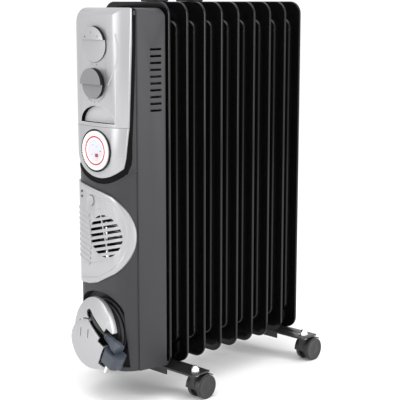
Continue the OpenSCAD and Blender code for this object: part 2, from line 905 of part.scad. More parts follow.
module cap_nuts() {
  color([0.85, 0.85, 0.86]) at_castors() difference() {
    union() {
      translate([0, 0, plate_low + plate_t]) cylinder(r = 8.5, h = 1.2, $fn = 48);
      translate([0, 0, plate_low + plate_t + 1.2]) cylinder(r = 7, h = 4.8, $fn = 6);
      translate([0, 0, plate_low + plate_t + 4.5]) sphere(r = 5.8, $fn = 48);
    }
    translate([0, 0, plate_low]) cylinder(r = stem_r, h = 8.5, $fn = 32);
  }
}

// Hood of a twin wheel castor, with its swivel axis at the origin and the wheels behind it
module castor(x, y) {
  wide = wheel_in + wheel_w + 0.4;
  color([0.10, 0.10, 0.11]) translate([x, y, 0]) difference() {
    union() {
      translate([trail, 0, wheel_r]) rotate([90, 0, 0]) cylinder(r = 15, h = web_t, center = true, $fn = 64);
      translate([-7, -web_t / 2, 22]) cube([trail + 7, web_t, 19]);
      translate([0, 0, 39.4]) cylinder(r = 8, h = 1.6, $fn = 48);
      intersection() {
        translate([trail, 0, wheel_r]) rotate([90, 0, 0]) difference() {
          cylinder(r = wheel_r + 2.6, h = 2 * wide, center = true, $fn = 96);
          cylinder(r = wheel_r + 0.9, h = 2 * wide + 2, center = true, $fn = 96);
        }
        translate([trail - 40, -wide, 19]) cube([52, 2 * wide, 30]);
      }
      intersection() {
        translate([trail, 0, wheel_r]) rotate([90, 0, 0])
          cylinder(r = wheel_r + 2.6, h = web_t, center = true, $fn = 96);
        translate([trail - 40, -wide, 19]) cube([52, 2 * wide, 30]);
      }
    }
    translate([0, 0, 24.2]) cylinder(r = stem_r + run, h = 30, $fn = 48);
    translate([trail, 0, wheel_r]) rotate([90, 0, 0]) cylinder(r = axle_r + run, h = 60, center = true, $fn = 48);
  }
}

module wheels(x, y) {
  color([0.08, 0.08, 0.08]) translate([x + trail, y, wheel_r]) rotate([90, 0, 0]) {
    cylinder(r = axle_r, h = 2 * wheel_in + 2, center = true, $fn = 48);
    for (side = [0, 1]) mirror([0, 0, side]) translate([0, 0, wheel_in]) {
      cylinder(r = wheel_r, h = wheel_w - 1, $fn = 96);
      cylinder(r = wheel_r - 1.2, h = wheel_w, $fn = 96);
    }
  }
}

place() fin(1);  // fin_1
place() fin(2);  // fin_2
place() fin(3);  // fin_3
place() fin(4);  // fin_4
place() fin(5);  // fin_5
place() fin(6);  // fin_6
place() fin(7);  // fin_7
place() fin(8);  // fin_8
place() fin(9);  // fin_9
place() heater_tube();
place() element_flange();
place() filler_plug();
place() front_cover();
place() rear_cover();
place() back_plate();
place() housing_screws();
place() upper_panel();
place() timer_panel();
place() panel_recess();
place() fan_grille();
place() selector_knob();
place() thermostat_knob();
place() timer_ring();
place() timer_tappets();
place() timer_centre();
place() timer_switch();
place() fan_button();
place() indicator_lamps();
place() selector_switch();
place() thermostat_body();
place() timer_motor();
place() fan_motor();
place() fan_impeller();
place() fan_heater();
place() terminal_block();
place() thermal_cutout();
place() carry_handle();
place() cord_hub();
place() store_upper_shell();
place() store_lower_shell();
place() cord_gland();
place() cord_tail();
place() cord_coil();
place() cord_lead();
place() plug_body();
place() plug_pins();
place() foot_plate(front_foot_x);  // foot_plate_front
place() foot_plate(rear_foot_x);  // foot_plate_rear
place() foot_clamps();
place() wing_nuts();
place() castor_stems();
place() cap_nuts();
place() castor(front_foot_x, swivel_y);  // castor_front_left
place() castor(front_foot_x, -swivel_y);  // castor_front_right
place() castor(rear_foot_x, swivel_y);  // castor_rear_left
place() castor(rear_foot_x, -swivel_y);  // castor_rear_right
place() wheels(front_foot_x, swivel_y);  // wheels_front_left
place() wheels(front_foot_x, -swivel_y);  // wheels_front_right
place() wheels(rear_foot_x, swivel_y);  // wheels_rear_left
place() wheels(rear_foot_x, -swivel_y);  // wheels_rear_right
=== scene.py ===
# %% [markdown]
# # Oil filled radiator heater
# This lesson dresses a radiator that is already built as an exact CAD assembly.
# The CAD gives every place and size, and each cell here makes one piece or one finish around it.
# Lengths are written in millimetres and turned into metres by one helper.

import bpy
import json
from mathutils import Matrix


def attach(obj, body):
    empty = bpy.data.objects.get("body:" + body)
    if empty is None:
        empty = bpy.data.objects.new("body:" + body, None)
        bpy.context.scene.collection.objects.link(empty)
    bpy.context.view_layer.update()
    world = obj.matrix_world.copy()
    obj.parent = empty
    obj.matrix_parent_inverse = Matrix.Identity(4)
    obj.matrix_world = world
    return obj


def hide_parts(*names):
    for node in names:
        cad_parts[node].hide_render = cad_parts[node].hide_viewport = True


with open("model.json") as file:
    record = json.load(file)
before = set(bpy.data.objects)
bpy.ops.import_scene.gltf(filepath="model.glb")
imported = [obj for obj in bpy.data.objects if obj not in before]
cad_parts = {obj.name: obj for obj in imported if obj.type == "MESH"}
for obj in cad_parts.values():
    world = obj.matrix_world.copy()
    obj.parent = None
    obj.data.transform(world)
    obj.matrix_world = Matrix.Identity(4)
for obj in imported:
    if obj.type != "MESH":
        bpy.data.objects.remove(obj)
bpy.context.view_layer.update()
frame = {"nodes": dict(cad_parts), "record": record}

# %% [markdown]
# ## Places and selections
# The drawing counts X from the first element, and the frame counts it from the middle of the footprint.
# Everything is deselected before a new piece is made, because an operator works on all that is selected.
# In edit mode, faces and edges are picked by where they are or which way they face, as a hand
# would pick them.

# %% Helpers for places and selections
import json
import math

import bmesh
import bpy
from mathutils import Matrix, Vector

MM = 0.001
MIDDLE_X = 112.0
SAME_PLACE = 0.00002
FLAT_DEGREES = 0.8
MOULD_ANGLE = 35
nodes = frame["nodes"]


def at(x, y, z):
    """A place on the drawing, in metres in the frame."""
    return Vector(((x - MIDDLE_X) * MM, y * MM, z * MM))


def nothing_selected():
    if bpy.context.mode != "OBJECT":
        bpy.ops.object.mode_set(mode="OBJECT")
    bpy.ops.object.select_all(action="DESELECT")


def only(obj):
    nothing_selected()
    obj.select_set(True)
    bpy.context.view_layer.objects.active = obj
    return obj


def settle(obj):
    """The place, turn and scale go into the mesh, and the object stays at the origin."""
    only(obj)
    bpy.ops.object.transform_apply(location=True, rotation=True, scale=True)
    return obj


def edit(obj, mode="FACE"):
    only(obj)
    bpy.ops.object.mode_set(mode="EDIT")
    bpy.ops.mesh.select_mode(type=mode)
    bpy.ops.mesh.select_all(action="DESELECT")


def pick(obj, kind, test):
    """Selects only the faces, edges or vertices that pass the test."""
    mesh = bmesh.from_edit_mesh(obj.data)
    items = {"FACE": mesh.faces, "EDGE": mesh.edges, "VERT": mesh.verts}[kind]
    bpy.ops.mesh.select_all(action="DESELECT")
    for item in items:
        if test(item):
            item.select_set(True)
    mesh.select_flush_mode()
    bmesh.update_edit_mesh(obj.data)


def middle(item):
    points = [v.co for v in item.verts]
    return sum(points, Vector()) / len(points)


def along(edge, axis):
    span = edge.verts[1].co - edge.verts[0].co
    return abs(span[axis]) > 0.99 * span.length


def use(obj, kind, **settings):
    """Adds a modifier and applies it at once."""
    only(obj)
    modifier = obj.modifiers.new(kind.title(), kind)
    for name, value in settings.items():
        setattr(modifier, name, value)
    bpy.ops.object.modifier_apply(modifier=modifier.name)
    return obj


def soften(obj, width, segments=2, angle=30):
    """Rounds the sharp edges a little and smooths the rest, as on any moulded or pressed piece."""
    use(obj, "BEVEL", width=width * MM, segments=segments, limit_method="ANGLE",
        angle_limit=math.radians(angle), harden_normals=False, use_clamp_overlap=True)
    return smooth(obj, angle)


def smooth(obj, angle=30):
    only(obj)
    bpy.ops.object.shade_smooth_by_angle(angle=math.radians(angle))
    return obj


def block(name, x0, x1, y0, y1, z0, z1):
    """A block between two corners of the drawing."""
    nothing_selected()
    low, high = at(x0, y0, z0), at(x1, y1, z1)
    bpy.ops.mesh.primitive_cube_add(size=1, location=(low + high) / 2)
    obj = bpy.context.object
    obj.scale = high - low
    obj.name = obj.data.name = name
    return settle(obj)


def disc_x(name, radius, x0, x1, y, z, vertices=96):
    """A round bar along X, from x0 to x1."""
    nothing_selected()
    bpy.ops.mesh.primitive_cylinder_add(vertices=vertices, radius=radius * MM,
        depth=abs(x1 - x0) * MM, location=at((x0 + x1) / 2, y, z), rotation=(0, math.pi / 2, 0))
    obj = bpy.context.object
    obj.name = obj.data.name = name
    return settle(obj)


def join(name, first, *rest):
    nothing_selected()
    for obj in rest:
        obj.select_set(True)
    first.select_set(True)
    bpy.context.view_layer.objects.active = first
    bpy.ops.object.join()
    first.name = first.data.name = name
    return first


def moved_copy(obj, name, x=0):
    """A copy with its own mesh, moved by millimetres along X."""
    new = obj.copy()
    new.data = obj.data.copy()
    new.name = new.data.name = name
    bpy.context.scene.collection.objects.link(new)
    new.data.transform(Matrix.Translation(Vector((x, 0, 0)) * MM))
    return new


def from_cad(node, name):
    """A copy of a CAD mesh, with its loose triangles merged into clean faces."""
    new = bpy.data.objects.new(name, nodes[node].data.copy())
    bpy.context.scene.collection.objects.link(new)
    new.data.materials.clear()
    edit(new, "VERT")
    bpy.ops.mesh.select_all(action="SELECT")
    bpy.ops.mesh.remove_doubles(threshold=SAME_PLACE)
    bpy.ops.mesh.dissolve_limited(angle_limit=math.radians(FLAT_DEGREES))
    only(new)
    bpy.ops.mesh.customdata_custom_splitnormals_clear()
    return new


def place_piece(obj, material, slot, body, *replaced):
    """The last step for every piece: its finish, the body it moves with and the CAD nodes it stands for."""
    obj.data.materials.clear()
    obj.data.materials.append(material)
    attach(obj, body)
    if replaced:
        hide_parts(*replaced)
    print(obj.name, len(obj.data.polygons), "faces on", body)


print("helpers ready for", len(nodes), "CAD nodes")

# %% [markdown]
# ## Camera
# The camera stands at the near front corner, at the height of the elements' tops, and looks a little down.
# A long lens keeps the elements' edges close to parallel.

# %% Camera
LENS_MM, SENSOR_MM = 100.43, 36.0
CAMERA_PLACE = (-1222.5, -1326.1, 642.7)
LOOK_DOWN, HEADING = 10.17, 44.11
camera_data = bpy.data.cameras.new("camera")
camera_data.lens = LENS_MM
camera_data.sensor_width = SENSOR_MM
camera_data.clip_end = 50.0
camera = bpy.data.objects.new("camera", camera_data)
camera.location = at(*CAMERA_PLACE)
camera.rotation_euler = (math.radians(90 - LOOK_DOWN), 0, math.radians(HEADING - 90))
bpy.context.scene.collection.objects.link(camera)
bpy.context.scene.camera = camera
print("camera at", [round(c, 3) for c in camera.location])

# %% [markdown]
# ## Materials as expressions
# A material here is a sum on sockets. One small class wraps a socket, so that a mask can be
# written as noise * 0.1 + 0.4, and each operator adds its own Math node.

# %% The socket class
OBJECT_OUTLET = 3
MIX_COLOUR_OUTLET = 2


class Socket:
    """A node's output that can be multiplied, added to and mixed."""

    def __init__(self, tree, link):
        self.tree, self.link = tree, link

    def make(self, kind, settings, outlet=0, **values):
        """Any other node: its settings first, and then the values or links of its sockets."""
        node = self.tree.nodes.new(kind)
        for name, value in settings.items():
            setattr(node, name, value)
        for name, value in values.items():
            key = int(name[1:]) if name[0] == "_" else name.replace("_", " ")
            inlet = node.inputs[key]
            if isinstance(value, Socket):
                self.tree.links.new(value.link, inlet)
            else:
                inlet.default_value = value
        return Socket(self.tree, node.outputs[outlet])

    def combine(self, operation, other):
        return self.make("ShaderNodeMath", {"operation": operation}, _0=self, _1=other)

    def __add__(self, other):
        return self.combine("ADD", other)

    def __mul__(self, other):
        return self.combine("MULTIPLY", other)

    def blend(self, low, high):
        """A colour between two colours, with this socket as the share of the second one."""
        return self.make("ShaderNodeMix", {"data_type": "RGBA"}, MIX_COLOUR_OUTLET,
            _0=self, _6=(*low, 1), _7=(*high, 1))


class Finish:
    """A principled material whose sockets take numbers, colours or Socket sums."""

    def __init__(self, name, colour, roughness, metallic=0.0, **fixed):
        self.material = bpy.data.materials.new(name)
        self.material.use_nodes = True
        self.tree = self.material.node_tree
        self.shader = self.tree.nodes["Principled BSDF"]
        self.start = Socket(self.tree, None)
        self.colour = colour
        self.roughness = roughness
        self.set("Base Color", (*colour, 1))
        self.set("Roughness", roughness)
        self.set("Metallic", metallic)
        for key, value in fixed.items():
            self.set(key.replace("_", " "), value)

    def set(self, name, value):
        inlet = self.shader.inputs[name]
        if isinstance(value, Socket):
            self.tree.links.new(value.link, inlet)
        else:
            inlet.default_value = value

    def noise(self, size_mm, detail=2.0):
        """Noise in the object's own coordinates, with grains of about this size."""
        where = self.start.make("ShaderNodeTexCoord", {}, OBJECT_OUTLET)
        return self.start.make("ShaderNodeTexNoise", {}, Vector=where,
            Scale=1000.0 / size_mm, Detail=detail)

    def relief(self, height, depth_mm, strength=1.0):
        self.set("Normal", self.start.make("ShaderNodeBump", {}, Height=height,
            Distance=depth_mm * MM, Strength=strength))

    def vary_colour(self, mask, amount):
        low = [c * (1 - amount) for c in self.colour]
        high = [min(1, c * (1 + amount)) for c in self.colour]
        self.set("Base Color", mask.blend(low, high))

    def vary_roughness(self, mask, amount):
        self.set("Roughness", mask * (2 * amount) + (self.roughness - amount))


print("socket class ready")

# %% [markdown]
# ## The finishes
# The elements are sprayed with glossy black enamel, which has a faint orange peel.
# The covers are dark grey plastic with a fine spark texture, and the panels on them have a satin
# silver lacquer with a very fine flake. Small parts are satin plastic, bright plating or rubber.

# %% Enamel on the elements and the feet
enamel = Finish("black_enamel", (0.004, 0.004, 0.0045), 0.13, Specular_IOR_Level=0.30)
peel = enamel.noise(7.0, 1.0)
enamel.vary_roughness(enamel.noise(60.0, 2.0), 0.04)
enamel.relief(peel, 0.03, 0.6)

foot_enamel = Finish("foot_enamel", (0.016, 0.016, 0.017), 0.34)
foot_enamel.vary_roughness(foot_enamel.noise(15.0, 3.0), 0.06)
foot_enamel.relief(foot_enamel.noise(3.0, 2.0), 0.02, 0.5)
print("enamels ready")

# %% Plastics of the housing
cover_plastic = Finish("cover_plastic", (0.032, 0.032, 0.035), 0.46, Specular_IOR_Level=0.30)
cover_plastic.vary_colour(cover_plastic.noise(40.0, 3.0), 0.05)
cover_plastic.relief(cover_plastic.noise(0.9, 2.0), 0.03, 0.5)

silver_lacquer = Finish("silver_lacquer", (0.40, 0.40, 0.41), 0.36, 0.70)
flake = silver_lacquer.noise(0.8, 1.0)
silver_lacquer.vary_colour(flake, 0.06)
silver_lacquer.vary_roughness(silver_lacquer.noise(25.0, 2.0), 0.03)
silver_lacquer.relief(flake, 0.01, 0.3)

recess_plastic = Finish("recess_plastic", (0.46, 0.46, 0.47), 0.45)
recess_plastic.relief(recess_plastic.noise(1.0, 2.0), 0.02, 0.4)

grey_plastic = Finish("knob_grey", (0.17, 0.17, 0.175), 0.40)
grey_plastic.vary_roughness(grey_plastic.noise(8.0, 2.0), 0.05)
grey_plastic.relief(grey_plastic.noise(0.8, 2.0), 0.02, 0.4)

black_plastic = Finish("black_plastic", (0.014, 0.014, 0.015), 0.42)
black_plastic.vary_roughness(black_plastic.noise(12.0, 2.0), 0.06)
black_plastic.relief(black_plastic.noise(0.9, 2.0), 0.02, 0.4)

wheel_plastic = Finish("wheel_plastic", (0.011, 0.011, 0.012), 0.28)
wheel_plastic.vary_roughness(wheel_plastic.noise(9.0, 3.0), 0.08)
wheel_plastic.relief(wheel_plastic.noise(2.0, 2.0), 0.015, 0.4)

# A near black, dull finish that stands for painted shade: the gap beside the silver panel, the recess wall
# and the moat round the timer lobe.
painted_shade_black = Finish("painted_shade_black", (0.003, 0.003, 0.003), 0.60, Specular_IOR_Level=0.08)
painted_shade_black.vary_roughness(painted_shade_black.noise(6.0, 2.0), 0.05)
print("plastics ready")

# %% Timer, lamps, lead and metals
timer_white = Finish("timer_white", (0.78, 0.78, 0.78), 0.38)
timer_white.vary_colour(timer_white.noise(4.0, 2.0), 0.03)
timer_pale = Finish("timer_pale", (0.54, 0.55, 0.60), 0.30, Coat_Weight=0.3)
timer_pale.vary_colour(timer_pale.noise(6.0, 2.0), 0.03)
signal_red = Finish("signal_red", (0.42, 0.015, 0.015), 0.28)
signal_red.vary_colour(signal_red.noise(3.0, 2.0), 0.08)
lamp_smoke = Finish("lamp_smoke", (0.050, 0.012, 0.012), 0.20, Coat_Weight=0.4)
lamp_smoke.vary_roughness(lamp_smoke.noise(2.0, 2.0), 0.04)

cord_rubber = Finish("cord_rubber", (0.016, 0.016, 0.017), 0.50)
cord_rubber.vary_roughness(cord_rubber.noise(6.0, 2.0), 0.08)
cord_rubber.relief(cord_rubber.noise(1.2, 2.0), 0.03, 0.4)
plug_plastic = Finish("plug_plastic", (0.036, 0.045, 0.060), 0.44)
plug_plastic.vary_roughness(plug_plastic.noise(7.0, 2.0), 0.06)
plug_plastic.relief(plug_plastic.noise(0.8, 2.0), 0.02, 0.4)

chrome = Finish("chrome", (0.80, 0.80, 0.82), 0.08, 1.0)
chrome.vary_roughness(chrome.noise(9.0, 2.0), 0.03)
nickel = Finish("nickel", (0.76, 0.75, 0.72), 0.16, 1.0)
nickel.vary_roughness(nickel.noise(3.0, 2.0), 0.05)
zinc = Finish("zinc_plate", (0.58, 0.59, 0.60), 0.34, 1.0)
zinc.vary_roughness(zinc.noise(5.0, 3.0), 0.10)
brass = Finish("turned_brass", (0.62, 0.47, 0.22), 0.30, 1.0)
brass.vary_roughness(brass.noise(4.0, 3.0), 0.08)
sheath = Finish("rolled_metal", (0.45, 0.44, 0.42), 0.42, 1.0)
sheath.vary_roughness(sheath.noise(5.0, 3.0), 0.08)
# The ceramic frame is made near black as painted shade, for the dark space behind the grille.
ceramic = Finish("ceramic_frame", (0.045, 0.042, 0.038), 0.75, Specular_IOR_Level=0.2)
ceramic.relief(ceramic.noise(2.0, 3.0), 0.05, 0.5)

finish_of_slot = {
    "element_paint": enamel, "foot_paint": foot_enamel, "sheath_metal": sheath, "steel": zinc,
    "brass": brass, "chrome": chrome, "nickel": nickel, "cover_plastic": cover_plastic,
    "silver_plastic": silver_lacquer, "recess_plastic": recess_plastic, "knob_grey": grey_plastic,
    "timer_white": timer_white, "timer_pale": timer_pale, "signal_red": signal_red,
    "black_plastic": black_plastic, "wheel_plastic": wheel_plastic, "ceramic_frame": ceramic,
    "cord_rubber": cord_rubber, "plug_plastic": plug_plastic,
}
slot_of_node = {s["node"]: s["material_slot"] for s in frame["record"]["subparts"]}
for name, node in nodes.items():
    node.data.materials.clear()
    node.data.materials.append(finish_of_slot[slot_of_node[name]].material)
nodes["indicator_lamps"].data.materials[0] = lamp_smoke.material
print("CAD nodes painted:", len(nodes))


def dress(obj, node, body):
    """Places a piece that stands for a CAD node, in that node's own finish."""
    slot = slot_of_node[node]
    place_piece(obj, finish_of_slot[slot].material, slot, body, node)

# %% [markdown]
# ## The mains lead
# The lead leaves through a tapered sleeve in the floor of the store, goes up, winds three turns
# inwards against the housing and three turns outwards in front of them, and leaves through the
# notch to the plug. It is one curve, so its length is the length of the route.

# %% The lead's route
CORD_RADIUS = 3.5
STORE_Z = 118.0
TURNS = 3
TAIL_HEIGHTS = (88, 97, 107)
LAYER_BACK, LAYER_FRONT = -70.8, -77.8
OUTER_TURN, INNER_TURN = 49.0, 28.0
STEPS = 24
IN_STEPS = TURNS * STEPS
OUT_STEPS = IN_STEPS + 2
CROSSING = 5

route = [(LAYER_BACK, OUTER_TURN, z) for z in TAIL_HEIGHTS]
for step in range(IN_STEPS + 1):
    turn = 2 * math.pi * step / STEPS
    r = OUTER_TURN - (OUTER_TURN - INNER_TURN) * step / IN_STEPS
    route.append((LAYER_BACK, r * math.cos(turn), STORE_Z + r * math.sin(turn)))
for step in range(2, OUT_STEPS + 1):
    turn = 2 * math.pi * step / STEPS
    r = INNER_TURN + (OUTER_TURN - INNER_TURN) * max(0, step - CROSSING) / (OUT_STEPS - CROSSING)
    share = min(1, step / CROSSING)
    route.append((LAYER_BACK + (LAYER_FRONT - LAYER_BACK) * share,
        r * math.cos(turn), STORE_Z + r * math.sin(turn)))
route += [(-79, 34, 152.5), (-83, 26, 156), (-89, 17, 155), (-95, 8, 149), (-100, 0, 141),
    (-102.5, -10, 132.5), (-101, -19.5, 124.5), (-98, -28, 117.5)]
route = [at(*p) for p in route]

curve = bpy.data.curves.new("mains_lead", "CURVE")
curve.dimensions = "3D"
curve.bevel_depth = CORD_RADIUS * MM
curve.bevel_resolution = 4
curve.resolution_u = 4
curve.use_fill_caps = True
spline = curve.splines.new("BEZIER")
spline.bezier_points.add(len(route) - 1)
for point, place in zip(spline.bezier_points, route):
    point.co = place
    point.handle_left_type = point.handle_right_type = "AUTO"
lead = bpy.data.objects.new("mains_lead", curve)
bpy.context.scene.collection.objects.link(lead)
curve.materials.append(cord_rubber.material)
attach(lead, "heater")
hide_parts("cord_tail", "cord_coil", "cord_lead")
lead_length = sum((b - a).length for a, b in zip(route, route[1:]))
print("lead", round(lead_length, 3), "m")

# %% [markdown]
# ## The pressed elements
# Each element is two steel sheets pressed together. Its edge is rolled over into a flat rim, the
# oil runs in raised channels, and round cups at both ends join it to its neighbours.
# A block with rounded corners is inset and pushed in for the sheet, and pads make the channels.

# %% One element
FIN_W, FIN_Z, FIN_TOP = 150.0, 48.0, 640.0
RIM_W, RIM_T, SHEET = 11.0, 5.0, 1.4
MANIFOLDS = (90.0, 598.0)
PITCH = 40.0
FIN_CORNER = 22
PAD_EDGE = FIN_W / 2 - 19
CHANNEL_HALF, CROSS_HALF = 13, 17
CHANNEL_OUT, CROSS_OUT = 7, 6.9
CUP_R = 24
ELEMENTS = 9
LAST_CUP_END = 10


def rounded_pad(name, x0, x1, y0, y1, z0, z1, corner, segments=8):
    """A block whose four edges along X are rounded."""
    obj = block(name, x0, x1, y0, y1, z0, z1)
    edit(obj, "EDGE")
    pick(obj, "EDGE", lambda e: along(e, 0))
    bpy.ops.mesh.bevel(offset=corner * MM, segments=segments, affect="EDGES")
    nothing_selected()
    return obj


def element_sheet():
    obj = rounded_pad("element", -RIM_T / 2, RIM_T / 2, -FIN_W / 2, FIN_W / 2, FIN_Z, FIN_TOP,
        FIN_CORNER, 10)
    edit(obj, "FACE")
    pick(obj, "FACE", lambda f: abs(f.normal.x) > 0.9)
    bpy.ops.mesh.inset(thickness=RIM_W * MM, use_boundary=True)
    bpy.ops.transform.resize(value=(SHEET / RIM_T, 1, 1), center_override=at(0, 0, (FIN_Z + FIN_TOP) / 2))
    nothing_selected()
    return soften(obj, 1.6, 3)


def element(cup_end):
    """The sheet with its upright channels, its two cross channels and its manifold cups."""
    sheet = element_sheet()
    pads = []
    for y in (-PAD_EDGE + CHANNEL_HALF, 0, PAD_EDGE - CHANNEL_HALF):
        pads.append(rounded_pad("pad", -CHANNEL_OUT, CHANNEL_OUT, y - CHANNEL_HALF, y + CHANNEL_HALF,
            MANIFOLDS[0], MANIFOLDS[1], 12))
    for z in (MANIFOLDS[0] + 4, MANIFOLDS[1] - 4):
        pads.append(rounded_pad("pad", -CROSS_OUT, CROSS_OUT, -PAD_EDGE, PAD_EDGE,
            z - CROSS_HALF, z + CROSS_HALF, 16))
    for pad in pads:
        soften(pad, 4.5, 4)
    cups = [soften(disc_x("cup", CUP_R, -PITCH / 2, cup_end, 0, z, 64), 3.0, 3) for z in MANIFOLDS]
    return join("element", sheet, *pads, *cups)


inner_element = element(PITCH / 2)
for n in range(1, ELEMENTS):
    dress(smooth(moved_copy(inner_element, f"element_{n}", x=(n - 1) * PITCH)), f"fin_{n}", "heater")
bpy.data.objects.remove(inner_element)
last_element = element(LAST_CUP_END)
last_element.data.transform(Matrix.Translation(Vector(((ELEMENTS - 1) * PITCH * MM, 0, 0))))
last_element.name = f"element_{ELEMENTS}"
dress(smooth(last_element), f"fin_{ELEMENTS}", "heater")

# %% [markdown]
# ## Low mouldings on the curved front
# The housing's front is a slightly crowned wall that turns round two corners. Rims, ribs, creases and
# printed arcs all follow it. One function lofts a low band along a path over that wall: the path is
# given by its sideways distance and its height, and the band closes itself with a sunk back.

# %% The wall and the band
CORNER_Y, CORNER_R = 30.0, 38.0
CORNER_X = -50.0
FLAT_TURN = math.radians(7.6)
CROWN_R = CORNER_R + CORNER_Y / math.sin(FLAT_TURN)
CROWN_X = CORNER_X + (CROWN_R - CORNER_R) * math.cos(FLAT_TURN)
FRONT_X = CROWN_X - CROWN_R
FURTHEST_SINE = 0.985


def wall_point(y, z, out):
    """The place on the wall at the sideways distance y, raised by out along its normal."""
    side = 1 if y >= 0 else -1
    if abs(y) <= CROWN_R * math.sin(FLAT_TURN):
        turn = math.asin(abs(y) / CROWN_R)
        centre, radius = Vector((CROWN_X, 0, z)), CROWN_R
    else:
        turn = math.asin(min(FURTHEST_SINE, (abs(y) - CORNER_Y) / CORNER_R))
        centre, radius = Vector((CORNER_X, side * CORNER_Y, z)), CORNER_R
    normal = Vector((-math.cos(turn), side * math.sin(turn), 0))
    return at(*(centre + normal * (radius + out)))


BAND_ACROSS, BAND_ANGLE = 6, 50


def band(name, path, width, height, sink=0.5, base=0.0):
    """A band with a rounded back that follows a path of (y, z) places over the wall."""
    shape = bmesh.new()
    widths = width if isinstance(width, list) else [width] * len(path)
    shares = [2 * k / BAND_ACROSS - 1 for k in range(BAND_ACROSS + 1)]
    profile = [(share, base + height * (1 - share ** 4)) for share in shares]
    profile += [(1, base - sink), (-1, base - sink)]
    rings = []
    for i, (y, z) in enumerate(path):
        before, after = path[max(i - 1, 0)], path[min(i + 1, len(path) - 1)]
        way = Vector((after[0] - before[0], after[1] - before[1])).normalized()
        side_y, side_z = -way.y, way.x
        half = widths[i] / 2
        ring = [wall_point(y + side_y * share * half, z + side_z * share * half, rise)
            for share, rise in profile]
        rings.append([shape.verts.new(place) for place in ring])
    size = len(profile)
    for a, b in zip(rings, rings[1:]):
        for k in range(size):
            shape.faces.new((a[k], a[(k + 1) % size], b[(k + 1) % size], b[k]))
    shape.faces.new(rings[0][::-1])
    shape.faces.new(rings[-1])
    bmesh.ops.recalc_face_normals(shape, faces=shape.faces)
    mesh = bpy.data.meshes.new(name)
    shape.to_mesh(mesh)
    shape.free()
    obj = bpy.data.objects.new(name, mesh)
    bpy.context.scene.collection.objects.link(obj)
    return smooth(obj, BAND_ANGLE)


def arc(y, z, radius, start, end, steps=24):
    turns = [math.radians(start + (end - start) * i / steps) for i in range(steps + 1)]
    return [(y + radius * math.cos(t), z + radius * math.sin(t)) for t in turns]


def line(y0, z0, y1, z1, steps=8):
    return [(y0 + (y1 - y0) * i / steps, z0 + (z1 - z0) * i / steps) for i in range(steps + 1)]


print("front of the wall at", round(FRONT_X, 2))

# %% [markdown]
# ## The covers and panels
# The covers' walls follow the CAD closely, so their meshes start as clean copies of the CAD skins,
# and a narrow bevel gives each moulded edge its small radius, which is what catches the light.
# A second finish on chosen faces paints shade on them: the black strip beside the silver panel and the dark
# wall of the recess.

# %% Covers and panels from the CAD skins
def bevelled(node, name, width, segments=2, body="heater"):
    """A clean copy of a CAD mesh with a narrow bevel, which stands for its node."""
    piece = soften(from_cad(node, name), width, segments, MOULD_ANGLE)
    dress(piece, node, body)
    return piece


def paint_faces(obj, finish, test):
    """Gives the faces that pass the test a second finish."""
    obj.data.materials.append(finish.material)
    chosen = [f for f in obj.data.polygons if test(f)]
    for face in chosen:
        face.material_index = len(obj.data.materials) - 1
    print(obj.name, len(chosen), "faces in", finish.material.name)


skins = {}
for node, width in (("front_cover", 0.5), ("rear_cover", 0.6), ("upper_panel", 0.9),
        ("timer_panel", 0.9), ("fan_grille", 0.9), ("panel_recess", 0.3)):
    skins[node] = bevelled(node, node + "_skin", width)

# %% Painted shade: the black strip beside the silver panel and the dark wall of the recess
STRIP_TOP, STRIP_FOOT = at(-67.0, 0, 620), at(-64.6, 0, 448)
strip_way = (STRIP_TOP - STRIP_FOOT).normalized()
strip_normal = Vector((strip_way.z, 0, -strip_way.x))
# The faces beyond this line get the near black finish, as painted shade for the gap beside the silver
# panel's edge.
for node in ("upper_panel", "timer_panel"):
    edit(skins[node])
    bpy.ops.mesh.select_all(action="SELECT")
    bpy.ops.mesh.bisect(plane_co=STRIP_TOP, plane_no=strip_normal)
    nothing_selected()
    smooth(skins[node], MOULD_ANGLE)
    paint_faces(skins[node], painted_shade_black, lambda f: (f.center - STRIP_TOP).dot(strip_normal) > SAME_PLACE)
# The recess's side walls get the same finish, as painted shade.
paint_faces(skins["panel_recess"], painted_shade_black, lambda f: abs(f.normal.x) < 0.5)

# %% Cord store shells and the hub
for node, width in (("store_upper_shell", 0.6), ("store_lower_shell", 0.6), ("cord_hub", 0.5)):
    bevelled(node, node + "_skin", width)

# %% [markdown]
# ## The two round controls
# Each knob is a disc whose upper half stands higher than its lower half, which gives the fingers an
# edge to turn. The disc is cut across with a plane, and the upper half of its face is extruded.

# %% The knobs
SELECTOR_Z, THERMOSTAT_Z = 575, 515
KNOB_SIDE_SLOPE, SMALLEST_FACE = 0.35, 1e-7
# A near black, dull finish. On the knobs' side walls it is painted shade. It is also the ink of the printed
# marks and signs and the colour of the timer's bezel.
side_shade_and_print_black = Finish("knob_side_shade_and_print", (0.005, 0.005, 0.005), 0.45, Specular_IOR_Level=0.15)
side_shade_and_print_black.vary_roughness(side_shade_and_print_black.noise(6.0, 2.0), 0.05)


